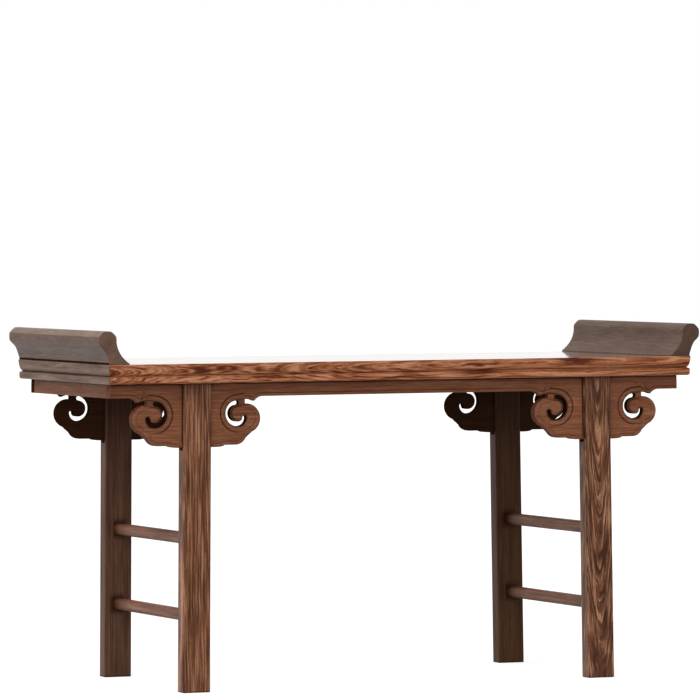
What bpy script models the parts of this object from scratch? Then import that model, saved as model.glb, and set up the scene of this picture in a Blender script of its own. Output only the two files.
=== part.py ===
# Small altar-style tea table in dark hardwood: a framed top with a rolled flange at each end,
# four splayed legs that clasp scroll-cut aprons, and a pair of stretchers at each end.
# Metres, +Z up. The front faces -Y and the feet stand on Z = 0.

from math import acos, asin, ceil, cos, degrees, pi, radians, sin

import bmesh
import bpy
from mathutils import Matrix, Vector

# Clearance between neighbouring pieces, and how far a cut runs past the face it opens
FIT = 0.0003
OVERCUT = 0.004

# Degrees between points on an arc, points on a cove, and the angle that stays a sharp edge
ARC_STEP = 12
COVE_STEPS = 8
SHARP_ANGLE = 30
WELD = 0.000001

# Top: a mitred frame around a floating panel
TOP_LENGTH = 0.580
TOP_DEPTH = 0.250
TOP_HEIGHT = 0.300
TOP_THICK = 0.0180
FRAME_WIDTH = 0.044

# Edge moulding: a rounded upper face, a quirk, and a narrow lip below it
EDGE_FACE = 0.0104
EDGE_QUIRK = 0.0032
LIP_INSET = 0.0006
LIP_SLOPE = 0.0014
LIP_CHAMFER = 0.0012

# Mitre tenons of the end rails
CORNER_TENON_OFFSET = 0.016
CORNER_TENON_MARGIN = 0.0034
CORNER_TENON_END = 0.008
CORNER_TENON_THICK = 0.005

# Panel and the two dovetailed battens under it
PANEL_THICK = 0.008
TONGUE_THICK = 0.004
TONGUE_LENGTH = 0.006
BATTEN_SPACING = 0.220
BATTEN_WIDTH = 0.016
BATTEN_HEIGHT = 0.0078
BATTEN_TENON_WIDTH = 0.010
BATTEN_TENON_THICK = 0.0044
BATTEN_TENON_LENGTH = 0.006
DOVETAIL_NECK = 0.007
DOVETAIL_HEAD = 0.010
DOVETAIL_HEIGHT = 0.003

# Rolled end flanges
FLANGE_HEIGHT = 0.0304
FLANGE_OVERHANG = 0.0092
FLANGE_BASE = 0.0205
FLANGE_FEATHER = 0.0008
FLANGE_END_INSET = 0.0005
ROLL_RADIUS = 0.0086
ROLL_END_ANGLE = -8
COVE_SLANT = 0.0011
COVE_HEIGHT = 0.0086
ROLL_START_ANGLE = 234
NECK_RUN = 0.0036
NECK_REACH = 0.0009
NECK_LEVEL = 0.0065
FLANGE_FOOT_INSET = 0.0015
FLANGE_TONGUE_INSET = 0.008
FLANGE_TONGUE_WIDTH = 0.006
FLANGE_TONGUE_DEPTH = 0.005
FLANGE_TONGUE_END = 0.030

# Aprons: one board along each long side, a short one across each end
APRON_END_INSET = 0.0071
APRON_SETBACK = 0.0162
APRON_HEIGHT = 0.0127
PLATE_THICK = 0.0086
STUB_LENGTH = 0.003
STUB_THICK = 0.003
STUB_SHOULDER = 0.002

# Scroll spandrels, measured outwards from the leg's centre and down from the apron's top
SPANDREL_DROP = 0.0585
SCROLL_REACH = 0.0625
LOBE_RADIUS = 0.0135
LOBE_END_ANGLE = -68
SCROLL_MOUTH = 0.004
HOOK_LIP = 0.0025
HOOK_RADIUS = 0.0102
HOOK_ANGLE = 26
BRIDGE_WIDTH = 0.0058
BRIDGE_OFFSET = 0.0013
BELLY_RADIUS = 0.011
BELLY_START_ANGLE = -28
STEP_DROP = 0.0018
STEP_REACH = 0.027
STEP_LENGTH = 0.0085
SLOT_WIDTH = 0.0042
SLOT_RADIUS = 0.0097
SLOT_INSET = 0.0085
SLOT_RISE = 0.0046
SLOT_TURN_ANGLE = 285
EYE_RADIUS = 0.0055
EYE_END_ANGLE = 360

# Legs
LEG_INSET = 0.0908
LEG_WIDTH = 0.0264
LEG_FRONT_CHEEK = 0.0038
LEG_BACK_CHEEK = 0.0031
LEG_ROUND = 0.0012
LEG_SPLAY = 0.011
LEG_SLOT_RELIEF = 0.0025
LEG_TENON_WIDTH = 0.016
LEG_TENON_LENGTH = 0.009
LEG_TENON_SHOULDER = 0.0006
LEG_TENON_ROOT = 0.006

# Stretchers between the front and rear leg of each end
UPPER_STRETCHER_LEVEL = 0.1396
LOWER_STRETCHER_LEVEL = 0.0692
STRETCHER_HEIGHT = 0.0104
STRETCHER_WIDTH = 0.0096
STRETCHER_ROUND = 0.0040
STRETCHER_TENON_HEIGHT = 0.0060
STRETCHER_TENON_WIDTH = 0.0050
STRETCHER_TENON_LENGTH = 0.009
STRETCHER_TENON_ROOT = 0.006

# Levels and planes that several pieces share
UNDERSIDE = TOP_HEIGHT - TOP_THICK
APRON_TOP = UNDERSIDE - FIT
LEG_TOP = UNDERSIDE - FIT
PANEL_UNDER = TOP_HEIGHT - PANEL_THICK
GROOVE_DEPTH = TONGUE_LENGTH + 2 * FIT
LEG_X = TOP_LENGTH / 2 - LEG_INSET
APRON_FRONT = TOP_DEPTH / 2 - APRON_SETBACK
APRON_BACK = APRON_FRONT - PLATE_THICK
LEG_FRONT = APRON_FRONT + LEG_FRONT_CHEEK
LEG_BACK = APRON_BACK - LEG_BACK_CHEEK
LEG_DEPTH = LEG_FRONT - LEG_BACK
SPANDREL_FOOT = APRON_TOP - SPANDREL_DROP

SIDES = {"left": -1, "right": 1}
FACES = {"front": -1, "rear": 1}

tenons = {}
mortises = {}


def clear_scene():
    for item in list(bpy.data.objects):
        bpy.data.objects.remove(item, do_unlink=True)


def new_collection(name):
    collection = bpy.data.collections.new(name)
    bpy.context.scene.collection.children.link(collection)
    return collection


def wood(name, colour, roughness):
    material = bpy.data.materials.new(name)
    material.use_nodes = True
    shader = material.node_tree.nodes["Principled BSDF"]
    shader.inputs["Base Color"].default_value = (*colour, 1.0)
    shader.inputs["Roughness"].default_value = roughness
    shader.inputs["Metallic"].default_value = 0.0
    return material


# Outlines


def on_circle(centre, radius, angle):
    turn = radians(angle)
    return (centre[0] + radius * cos(turn), centre[1] + radius * sin(turn))


def arc(centre, radius, start, end, rise=None):
    """Points of a circular arc in degrees, or of an elliptical one when rise is given."""
    rise = radius if rise is None else rise
    steps = max(2, ceil(abs(end - start) / ARC_STEP))
    angles = [radians(start + (end - start) * i / steps) for i in range(steps + 1)]
    return [(centre[0] + radius * cos(a), centre[1] + rise * sin(a)) for a in angles]


def rounded_rectangle(width, height, radius):
    points = []
    for turn, (sx, sy) in enumerate(((1, 1), (-1, 1), (-1, -1), (1, -1))):
        corner = (sx * (width / 2 - radius), sy * (height / 2 - radius))
        points += arc(corner, radius, 90 * turn, 90 * turn + 90)
    return points


def bend(start, control, end, steps):
    """Points of a quadratic curve, without its first point."""
    points = []
    for i in range(1, steps + 1):
        t = i / steps
        point = Vector(start).lerp(control, t).lerp(Vector(control).lerp(end, t), t)
        points.append((point.x, point.y))
    return points


def plate(name, outline, thickness):
    """A flat solid from a closed outline, each cap filled as one face."""
    curve = bpy.data.curves.new(name, "CURVE")
    curve.dimensions = "2D"
    curve.fill_mode = "NONE"
    curve.extrude = thickness / 2
    spline = curve.splines.new("POLY")
    spline.points.add(len(outline) - 1)
    for point, (x, y) in zip(spline.points, outline):
        point.co = (x, y, 0, 1)
    spline.use_cyclic_u = True
    source = bpy.data.objects.new(name + "_outline", curve)
    bpy.context.scene.collection.objects.link(source)
    graph = bpy.context.evaluated_depsgraph_get()
    mesh = bpy.data.meshes.new_from_object(source.evaluated_get(graph))
    bpy.data.objects.remove(source, do_unlink=True)
    shape = bmesh.new()
    shape.from_mesh(mesh)
    bmesh.ops.remove_doubles(shape, verts=shape.verts, dist=WELD)
    rims = [edge for edge in shape.edges if edge.is_boundary]
    bmesh.ops.holes_fill(shape, edges=rims)
    bmesh.ops.recalc_face_normals(shape, faces=shape.faces)
    shape.to_mesh(mesh)
    shape.free()
    mesh.shade_smooth()
    mesh.set_sharp_from_angle(angle=radians(SHARP_ANGLE))
    mesh.name = name
    return bpy.data.objects.new(name, mesh)


def boxes(name, solids):
    """One mesh of separate boxes, each given by its low and high corner."""
    mesh = bpy.data.meshes.new(name)
    shape = bmesh.new()
    for low, high in solids:
        low, high = Vector(low), Vector(high)
        place = Matrix.Translation((low + high) / 2) @ Matrix.Diagonal((*(high - low), 1))
        bmesh.ops.create_cube(shape, size=1, matrix=place)
    shape.to_mesh(mesh)
    shape.free()
    return bpy.data.objects.new(name, mesh)


def span(a, b):
    return (min(a, b), max(a, b))


def corners(x, y, z):
    """Low and high corner of a box from its three ranges."""
    return tuple(zip(span(*x), span(*y), span(*z)))


# Pieces and joints


def add_part(part, material):
    parts.objects.link(part)
    part.data.materials.clear()
    part.data.materials.append(material)
    return part


def add_tool(part, tool, operation):
    tool.hide_render = True
    tool.display_type = "WIRE"
    cutters.objects.link(tool)
    modifier = part.modifiers.new(tool.name, "BOOLEAN")
    modifier.operation = operation
    modifier.solver = "EXACT"
    modifier.object = tool


def join(tenon_part, mortise_part, tenon):
    """Grow a tenon on one piece and sink its mortise, FIT wider all round, in another."""
    low, high = tenon
    tenons.setdefault(tenon_part, []).append(tenon)
    grown = (tuple(v - FIT for v in low), tuple(v + FIT for v in high))
    mortises.setdefault(mortise_part, []).append(grown)


def cut_joints():
    for name, solids in tenons.items():
        add_tool(bpy.data.objects[name], boxes(name + "_tenons", solids), "UNION")
    for name, voids in mortises.items():
        add_tool(bpy.data.objects[name], boxes(name + "_mortises", voids), "DIFFERENCE")


# Top


def frame_profile():
    groove_low = -(PANEL_THICK + FIT)
    groove_high = -(PANEL_THICK - TONGUE_THICK - FIT)
    face = arc((EDGE_QUIRK, 0), EDGE_QUIRK, 180, 270, EDGE_FACE)
    lip = [(LIP_INSET, -(EDGE_FACE + LIP_SLOPE)), (LIP_INSET, -(TOP_THICK - LIP_CHAMFER))]
    lip.append((LIP_INSET + LIP_CHAMFER, -TOP_THICK))
    inner = [(FRAME_WIDTH, -TOP_THICK), (FRAME_WIDTH, groove_low)]
    inner += [(FRAME_WIDTH - GROOVE_DEPTH, groove_low), (FRAME_WIDTH - GROOVE_DEPTH, groove_high)]
    inner += [(FRAME_WIDTH, groove_high), (FRAME_WIDTH, 0)]
    return face + lip + inner


def frame_member(name, half_length, half_span, heading):
    """A mitred length of the frame, its outer edge half_span from the table's centre."""
    member = plate(name, frame_profile(), 2 * half_length)
    mitre_gap = FIT * sin(pi / 4)
    for vertex in member.data.vertices:
        reach = half_length - vertex.co.x - mitre_gap
        vertex.co.z = reach if vertex.co.z > 0 else -reach
    turn = Matrix.Rotation(heading, 4, "Z")
    member.rotation_euler = (pi / 2, 0, heading)
    member.location = turn @ Vector((-half_span, 0, TOP_HEIGHT))
    add_part(member, frame_wood)


def make_frame():
    frame_member("top_front_stile", TOP_LENGTH / 2, TOP_DEPTH / 2, pi / 2)
    frame_member("top_rear_stile", TOP_LENGTH / 2, TOP_DEPTH / 2, -pi / 2)
    frame_member("top_left_rail", TOP_DEPTH / 2, TOP_LENGTH / 2, 0)
    frame_member("top_right_rail", TOP_DEPTH / 2, TOP_LENGTH / 2, pi)
    inner_side = FRAME_WIDTH - GROOVE_DEPTH - CORNER_TENON_MARGIN
    middle = TOP_HEIGHT - TOP_THICK / 2
    heights = (middle - CORNER_TENON_THICK / 2, middle + CORNER_TENON_THICK / 2)
    for side, sx in SIDES.items():
        end = TOP_LENGTH / 2
        width = (sx * (end - CORNER_TENON_OFFSET), sx * (end - inner_side))
        for face, sy in FACES.items():
            edge = TOP_DEPTH / 2
            reach = (sy * (edge - CORNER_TENON_END), sy * (edge - FRAME_WIDTH))
            join(f"top_{side}_rail", f"top_{face}_stile", corners(width, reach, heights))


def make_panel():
    half_x = TOP_LENGTH / 2 - FRAME_WIDTH - FIT
    half_y = TOP_DEPTH / 2 - FRAME_WIDTH - FIT
    tongue_x = half_x + TONGUE_LENGTH
    tongue_y = half_y + TONGUE_LENGTH
    tongue_top = PANEL_UNDER + TONGUE_THICK
    tongues = corners((-tongue_x, tongue_x), (-tongue_y, tongue_y), (PANEL_UNDER, tongue_top))
    field_low = (PANEL_UNDER + tongue_top) / 2
    field = corners((-half_x, half_x), (-half_y, half_y), (field_low, TOP_HEIGHT))
    panel = add_part(boxes("top_panel", [tongues]), panel_wood)
    add_tool(panel, boxes("top_panel_field", [field]), "UNION")
    return panel


def dovetail(neck, head, top):
    """Section of a dovetail, from its right neck over the head to its left neck."""
    return [(neck / 2, -FIT), (head / 2, top), (-head / 2, top), (-neck / 2, -FIT)]


def make_battens(panel):
    half_length = TOP_DEPTH / 2 - FRAME_WIDTH - FIT
    half_width = BATTEN_WIDTH / 2
    foot = -FIT - BATTEN_HEIGHT
    body = [(-half_width, -FIT), (-half_width, foot), (half_width, foot), (half_width, -FIT)]
    outline = dovetail(DOVETAIL_NECK, DOVETAIL_HEAD, DOVETAIL_HEIGHT - FIT) + body
    open_side = [(-DOVETAIL_NECK / 2 - FIT, -OVERCUT), (DOVETAIL_NECK / 2 + FIT, -OVERCUT)]
    groove = dovetail(DOVETAIL_NECK + 2 * FIT, DOVETAIL_HEAD + 2 * FIT, DOVETAIL_HEIGHT) + open_side
    middle = PANEL_UNDER - FIT - BATTEN_HEIGHT / 2
    heights = (middle - BATTEN_TENON_THICK / 2, middle + BATTEN_TENON_THICK / 2)
    for side, sx in SIDES.items():
        name = f"{side}_batten"
        place = (sx * BATTEN_SPACING / 2, 0, PANEL_UNDER)
        batten = add_part(plate(name, outline, 2 * half_length), hidden_wood)
        slot = plate(f"top_panel_{side}_dovetail", groove, TOP_DEPTH)
        for item in (batten, slot):
            item.rotation_euler = (pi / 2, 0, 0)
            item.location = place
        add_tool(panel, slot, "DIFFERENCE")
        width = (place[0] - BATTEN_TENON_WIDTH / 2, place[0] + BATTEN_TENON_WIDTH / 2)
        for face, sy in FACES.items():
            reach = (sy * (half_length - BATTEN_TENON_LENGTH), sy * (half_length + BATTEN_TENON_LENGTH))
            join(name, f"top_{face}_stile", corners(width, reach, heights))


# End flanges


def flange_profile():
    """Section across the flange: distance in from the end of the top, height above it."""
    roll = (ROLL_RADIUS - FLANGE_OVERHANG, FLANGE_HEIGHT - ROLL_RADIUS)
    rolled = arc(roll, ROLL_RADIUS, ROLL_START_ANGLE, ROLL_END_ANGLE)
    hollow = on_circle(rolled[0], NECK_RUN, ROLL_START_ANGLE + 90)
    neck = bend(rolled[0], hollow, (-NECK_REACH, NECK_LEVEL), COVE_STEPS)
    start = rolled[-1]
    cove = bend(start, (start[0] + COVE_SLANT, COVE_HEIGHT), (FLANGE_BASE, FLANGE_FEATHER), COVE_STEPS)
    return [(FLANGE_FOOT_INSET, FIT)] + neck[::-1] + rolled + cove + [(FLANGE_BASE, FIT)]


def make_flanges():
    length = TOP_DEPTH - 2 * FLANGE_END_INSET
    tongue_half = TOP_DEPTH / 2 - FLANGE_TONGUE_END
    heights = (TOP_HEIGHT - FLANGE_TONGUE_DEPTH, TOP_HEIGHT + FLANGE_TONGUE_DEPTH)
    for side, sx in SIDES.items():
        name = f"{side}_flange"
        flange = add_part(plate(name, flange_profile(), length), flange_wood)
        flange.rotation_euler = (pi / 2, 0, 0 if sx < 0 else pi)
        flange.location = (sx * TOP_LENGTH / 2, 0, TOP_HEIGHT)
        middle = TOP_LENGTH / 2 - FLANGE_TONGUE_INSET
        width = (sx * (middle - FLANGE_TONGUE_WIDTH / 2), sx * (middle + FLANGE_TONGUE_WIDTH / 2))
        join(name, f"top_{side}_rail", corners(width, (-tongue_half, tongue_half), heights))


# Aprons


def lobe_centre():
    drop = APRON_HEIGHT + HOOK_LIP + SCROLL_MOUTH + LOBE_RADIUS
    return (SCROLL_REACH - LOBE_RADIUS, -drop)


def spandrel_edge():
    """Lower edge of a spandrel, from the plain apron in to the leg's centre."""
    lobe = lobe_centre()
    mouth = LOBE_RADIUS + SCROLL_MOUTH
    tip = on_circle(lobe, mouth, 90 - HOOK_ANGLE)
    fall = degrees(acos(1 - (-APRON_HEIGHT - tip[1]) / HOOK_RADIUS))
    hook_centre = (tip[0] + HOOK_RADIUS * sin(radians(fall)), -APRON_HEIGHT - HOOK_RADIUS)
    hook = arc(hook_centre, HOOK_RADIUS, 90, 90 + fall)
    bridge_mouth = 90 + degrees(asin(BRIDGE_OFFSET / mouth))
    bridge_lobe = 90 + degrees(asin(BRIDGE_OFFSET / LOBE_RADIUS))
    mouth_edge = arc(lobe, mouth, 90 - HOOK_ANGLE, bridge_mouth)[1:]
    lobe_edge = arc(lobe, LOBE_RADIUS, bridge_lobe, LOBE_END_ANGLE)
    belly_level = STEP_DROP - SPANDREL_DROP
    belly_centre = (lobe[0] - BELLY_RADIUS, belly_level + BELLY_RADIUS)
    belly = arc(belly_centre, BELLY_RADIUS, BELLY_START_ANGLE, -90)
    step = arc((STEP_REACH - STEP_LENGTH, belly_level), STEP_LENGTH, 0, -90, STEP_DROP)
    return hook + mouth_edge + lobe_edge + belly + step


def spandrel_slot():
    """Spiral slot of a spandrel: two tangent arcs of even width with round ends."""
    lobe = lobe_centre()
    centre = (lobe[0] - SLOT_INSET, lobe[1] + SLOT_RISE)
    half = SLOT_WIDTH / 2
    bridge_side = lobe[0] - BRIDGE_OFFSET - BRIDGE_WIDTH
    start = 90 + degrees(asin((centre[0] - bridge_side + half) / SLOT_RADIUS))
    shift = SLOT_RADIUS - EYE_RADIUS
    eye = on_circle(centre, shift, SLOT_TURN_ANGLE)
    mouth_end = on_circle(centre, SLOT_RADIUS, start)
    eye_end = on_circle(eye, EYE_RADIUS, EYE_END_ANGLE)
    outer = arc(centre, SLOT_RADIUS + half, start, SLOT_TURN_ANGLE)
    outer += arc(eye, EYE_RADIUS + half, SLOT_TURN_ANGLE, EYE_END_ANGLE)[1:]
    inner = arc(eye, EYE_RADIUS - half, EYE_END_ANGLE, SLOT_TURN_ANGLE)
    inner += arc(centre, SLOT_RADIUS - half, SLOT_TURN_ANGLE, start)[1:]
    eye_cap = arc(eye_end, half, EYE_END_ANGLE, EYE_END_ANGLE + 180)[1:-1]
    mouth_cap = arc(mouth_end, half, start - 180, start)[1:-1]
    return outer + eye_cap + inner + mouth_cap


def apron_outline():
    """Outline of a long apron, its top edge at zero height."""
    half = TOP_LENGTH / 2 - APRON_END_INSET
    edge = spandrel_edge()
    outer_end = [(LEG_X + x, y) for x, y in edge]
    inner_end = [(LEG_X - x, y) for x, y in reversed(edge)]
    right_half = [(half, 0), (half, -APRON_HEIGHT)] + outer_end + inner_end
    left_half = [(-x, y) for x, y in reversed(right_half)]
    return right_half + left_half


def make_aprons():
    for face, sy in FACES.items():
        name = f"{face}_apron"
        place = (0, sy * (APRON_FRONT - PLATE_THICK / 2), APRON_TOP)
        apron = add_part(plate(name, apron_outline(), PLATE_THICK), apron_wood)
        apron.rotation_euler = (pi / 2, 0, 0)
        apron.location = place
        for side, sx in SIDES.items():
            for way, turn in (("inner", -sx), ("outer", sx)):
                outline = [(sx * LEG_X + turn * x, y) for x, y in spandrel_slot()]
                slot = plate(f"{name}_{side}_{way}_slot", outline, PLATE_THICK + OVERCUT)
                slot.rotation_euler = (pi / 2, 0, 0)
                slot.location = place
                add_tool(apron, slot, "DIFFERENCE")
    levels = (APRON_TOP - APRON_HEIGHT, APRON_TOP)
    stub_levels = (levels[0] + STUB_SHOULDER, levels[1] - STUB_SHOULDER)
    half_length = APRON_BACK - FIT
    for side, sx in SIDES.items():
        name = f"{side}_end_apron"
        outer = TOP_LENGTH / 2 - APRON_END_INSET
        width = (sx * outer, sx * (outer - PLATE_THICK))
        add_part(boxes(name, [corners(width, (-half_length, half_length), levels)]), apron_wood)
        middle = sx * (outer - PLATE_THICK / 2)
        stub = (middle - STUB_THICK / 2, middle + STUB_THICK / 2)
        for face, sy in FACES.items():
            reach = (sy * (half_length - STUB_LENGTH), sy * (half_length + STUB_LENGTH))
            join(name, f"{face}_apron", corners(stub, reach, stub_levels))


# Legs and stretchers


def leg_centre(height):
    """Distance of a leg's centreline from the table's middle at a height."""
    return LEG_X + LEG_SPLAY * (LEG_TOP - height)


def make_legs():
    outline = rounded_rectangle(LEG_WIDTH, LEG_DEPTH, LEG_ROUND)
    slot_floor = SPANDREL_FOOT - LEG_SLOT_RELIEF
    half_tenon = LEG_TENON_WIDTH / 2
    tenon_levels = (LEG_TOP - LEG_TENON_ROOT, UNDERSIDE + LEG_TENON_LENGTH)
    front_cheek = (LEG_FRONT - LEG_TENON_SHOULDER, APRON_FRONT + FIT + LEG_TENON_SHOULDER)
    back_cheek = (APRON_BACK - FIT - LEG_TENON_SHOULDER, LEG_BACK + LEG_TENON_SHOULDER)
    for side, sx in SIDES.items():
        splay = Matrix(((1, 0, -sx * LEG_SPLAY, 0), (0, 1, 0, 0), (0, 0, 1, 0), (0, 0, 0, 1)))
        for face, sy in FACES.items():
            name = f"{face}_{side}_leg"
            leg = add_part(plate(name, outline, LEG_TOP), leg_wood)
            leg.data.transform(splay)
            leg.location = (sx * leg_centre(LEG_TOP / 2), sy * (LEG_FRONT + LEG_BACK) / 2, LEG_TOP / 2)
            clasp = (sx * (LEG_X - LEG_WIDTH), sx * (LEG_X + LEG_WIDTH))
            board = (sy * (APRON_FRONT + FIT), sy * (APRON_BACK - FIT))
            slot = corners(clasp, board, (slot_floor, UNDERSIDE + LEG_TENON_LENGTH + OVERCUT))
            mortises.setdefault(name, []).append(slot)
            width = (sx * LEG_X - half_tenon, sx * LEG_X + half_tenon)
            for cheek in (front_cheek, back_cheek):
                depth = (sy * cheek[0], sy * cheek[1])
                join(name, f"top_{face}_stile", corners(width, depth, tenon_levels))


def make_stretchers():
    outline = rounded_rectangle(STRETCHER_WIDTH, STRETCHER_HEIGHT, STRETCHER_ROUND)
    half_length = LEG_BACK - FIT
    half_tenon = STRETCHER_TENON_WIDTH / 2
    half_rise = STRETCHER_TENON_HEIGHT / 2
    levels = {"upper": UPPER_STRETCHER_LEVEL, "lower": LOWER_STRETCHER_LEVEL}
    for side, sx in SIDES.items():
        for level, height in levels.items():
            name = f"{side}_{level}_stretcher"
            middle = sx * leg_centre(height)
            stretcher = add_part(plate(name, outline, 2 * half_length), stretcher_wood)
            stretcher.rotation_euler = (pi / 2, 0, 0)
            stretcher.location = (middle, 0, height)
            width = (middle - half_tenon, middle + half_tenon)
            heights = (height - half_rise, height + half_rise)
            for face, sy in FACES.items():
                root = half_length - STRETCHER_TENON_ROOT
                reach = (sy * root, sy * (half_length + STRETCHER_TENON_LENGTH))
                join(name, f"{face}_{side}_leg", corners(width, reach, heights))


clear_scene()
parts = new_collection("tea_table")
cutters = new_collection("tea_table_cutters")
frame_wood = wood("oiled_wenge_frame", (0.165, 0.066, 0.032), 0.42)
panel_wood = wood("oiled_wenge_panel", (0.150, 0.070, 0.040), 0.40)
hidden_wood = wood("unfinished_wenge", (0.090, 0.048, 0.030), 0.60)
flange_wood = wood("oiled_wenge_flange", (0.120, 0.078, 0.055), 0.40)
apron_wood = wood("oiled_wenge_apron", (0.100, 0.052, 0.034), 0.48)
leg_wood = wood("oiled_wenge_leg", (0.105, 0.050, 0.030), 0.48)
stretcher_wood = wood("oiled_wenge_stretcher", (0.110, 0.062, 0.045), 0.50)

make_frame()
make_battens(make_panel())
make_flanges()
make_aprons()
make_legs()
make_stretchers()
cut_joints()
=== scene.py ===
from math import acos, asin, atan2, ceil, cos, degrees, pi, radians, sin, sqrt

import bmesh
import bpy
import numpy as np
from mathutils import Matrix, Vector
from mathutils.geometry import delaunay_2d_cdt


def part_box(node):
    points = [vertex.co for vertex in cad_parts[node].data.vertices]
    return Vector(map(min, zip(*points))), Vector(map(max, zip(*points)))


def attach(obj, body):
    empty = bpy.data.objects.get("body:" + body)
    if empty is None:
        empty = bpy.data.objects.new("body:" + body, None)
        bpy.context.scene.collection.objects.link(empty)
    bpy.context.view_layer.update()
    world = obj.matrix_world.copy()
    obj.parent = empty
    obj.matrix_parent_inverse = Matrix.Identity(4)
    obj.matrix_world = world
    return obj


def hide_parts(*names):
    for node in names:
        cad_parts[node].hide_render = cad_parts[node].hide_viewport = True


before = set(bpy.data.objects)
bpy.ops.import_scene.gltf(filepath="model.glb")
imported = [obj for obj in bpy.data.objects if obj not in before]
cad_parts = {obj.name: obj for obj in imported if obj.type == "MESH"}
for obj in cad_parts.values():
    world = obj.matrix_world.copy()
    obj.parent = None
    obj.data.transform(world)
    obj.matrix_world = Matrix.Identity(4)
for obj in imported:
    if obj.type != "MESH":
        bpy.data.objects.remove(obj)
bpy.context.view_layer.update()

# Tea table in oiled wenge. Each visible node is rebuilt with softened edges, carved beads on the
# aprons and its own run of grain. Lengths in the dictionaries are millimetres, angles degrees.

mm = 0.001
scene = bpy.context.scene
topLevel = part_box("top_panel")[1].z
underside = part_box("top_front_stile")[0].z
apronLow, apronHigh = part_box("front_apron")
sides = {"left": -1, "right": 1}
faces = {"front": -1, "rear": 1}

mesh = {"arcStep": 6, "sharpAngle": 32, "creaseAngle": 30, "cornerAngle": 60, "bevelSegments": 3,
        "sectionSegments": 4, "touch": 0.01}
touch = mesh["touch"] * mm   # places this close count as one


# shared mesh helpers
def arcPoints(centre, radius, start, end, rise=None):
    rise = radius if rise is None else rise
    count = max(2, ceil(abs(end - start) / mesh["arcStep"]))
    turns = [radians(start + (end - start) * i / count) for i in range(count + 1)]
    return [(centre[0] + radius * cos(t), centre[1] + rise * sin(t)) for t in turns]


def onCircle(centre, radius, angle):
    return (centre[0] + radius * cos(radians(angle)), centre[1] + radius * sin(radians(angle)))


def quadraticPoints(start, control, end, count):
    spots = []
    for i in range(1, count + 1):
        t = i / count
        spot = Vector(start).lerp(control, t).lerp(Vector(control).lerp(end, t), t)
        spots.append((spot.x, spot.y))
    return spots


def outlineFace(bm, outline):
    return bm.faces.new([bm.verts.new((x * mm, y * mm, 0)) for x, y in outline])


def extrudeFaces(bm, flat, rise):
    grown = bmesh.ops.extrude_face_region(bm, geom=flat)["geom"]
    verts = [item for item in grown if isinstance(item, bmesh.types.BMVert)]
    bmesh.ops.translate(bm, verts=verts, vec=rise)
    return [item for item in grown if isinstance(item, bmesh.types.BMFace)]


def addBlock(bm, centre, size):
    place = Matrix.Translation(centre) @ Matrix.Diagonal((*size, 1))
    bmesh.ops.create_cube(bm, size=1, matrix=place)


def cutAcross(bm, spot, axis):
    way = Vector([float(i == axis) for i in range(3)])
    everything = bm.verts[:] + bm.edges[:] + bm.faces[:]
    bmesh.ops.bisect_plane(bm, geom=everything, plane_co=way * spot, plane_no=way)


def soften(bm, edges, width):
    bmesh.ops.bevel(bm, geom=edges, offset=width, offset_type="OFFSET", affect="EDGES", profile=0.5,
                    segments=mesh["bevelSegments"], material=-1, clamp_overlap=True)


def sharpEdges(bm, least):
    return [e for e in bm.edges if len(e.link_faces) == 2 and e.calc_face_angle() > radians(least)]


def markPaintedShade(bm, share):
    # the hollow attribute is painted shade: 0 leaves the wood as it is, 1 darkens it fully
    layer = bm.verts.layers.float.new("hollow")
    for vert in bm.verts:
        vert[layer] = share(vert)


def addPiece(name, bm, surfaces, slot, *nodes):
    bmesh.ops.recalc_face_normals(bm, faces=bm.faces)
    data = bpy.data.meshes.new(name)
    bm.to_mesh(data)
    bm.free()
    data.shade_smooth()
    data.set_sharp_from_angle(angle=radians(mesh["sharpAngle"]))
    for surface in surfaces:
        data.materials.append(finishes[surface])
    piece = bpy.data.objects.new(name, data)
    # eased edges leave broad faces flat
    piece.modifiers.new("flat_faces", "WEIGHTED_NORMAL").keep_sharp = True
    scene.collection.objects.link(piece)
    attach(piece, "root")
    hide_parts(*nodes)


# shared node helpers
def toLinear(hexColour):   # along the sRGB curve
    channels = [int(hexColour[i:i + 2], 16) / 255 for i in (0, 2, 4)]
    return [c / 12.92 if c <= 0.04045 else ((c + 0.055) / 1.055) ** 2.4 for c in channels] + [1.0]


def addNode(tree, kind, links=None, **settings):
    node = tree.nodes.new(kind)
    for key, value in settings.items():
        setattr(node, key, value)
    for socket, value in (links or {}).items():
        if isinstance(value, bpy.types.NodeSocket):
            tree.links.new(value, node.inputs[socket])
        else:
            node.inputs[socket].default_value = value
    return node


def newTree(holder):
    holder.use_nodes = True
    holder.node_tree.nodes.clear()
    return holder.node_tree


# Wenge is a dark hardwood with alternating light and dark bands. Planed and oiled it shows them as
# straight streaks on a quarter-sawn face and as pointed flames on a flat-sawn one, under a satin sheen.
grainTurns = {"x": (0, 0, 0), "y": (0, 0, -90), "z": (0, 90, 0)}

wenge = {
    "raggedLong": 16, "raggedAcross": 3.5, "raggedDetail": 3,   # torn edges of the flames
    "patchLong": 70, "patchAcross": 12, "patchDetail": 2,   # lighter and darker areas of a board
    "fibreLong": 20, "fibreAcross": 0.9, "fibreDetail": 2,   # coarser than real fibres, to show
    "poreLong": 6, "poreAcross": 0.7, "poreDetail": 1,   # open pores as short dark dashes
    "poreFrom": 0.60, "poreTo": 0.70,   # how much of the pores' noise is cut open
    "wanderDetail": 1.5, "bandDetail": 1.0, "noiseRough": 0.5,
    "fineBand": 0.34,   # width of a fine band beside a broad one
    "breakAcross": 14, "courseReach": 300, "courseDepth": 50,
    "reliefDepth": 0.05, "relief": 0.5, "paintedShadeColour": "2A1408",
    "figureLow": 0.35, "figureHigh": 0.65, "darkRougher": 0.06, "lightSmoother": 0.04,
    "rubbedFrom": 0.97, "rubbedTo": 0.995, "rubbedRough": 0.06,   # how far up a rubbed face looks
    "ior": 1.45, "waxCoat": 0.5, "waxRough": 0.07, "waxIor": 1.5,
}


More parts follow.
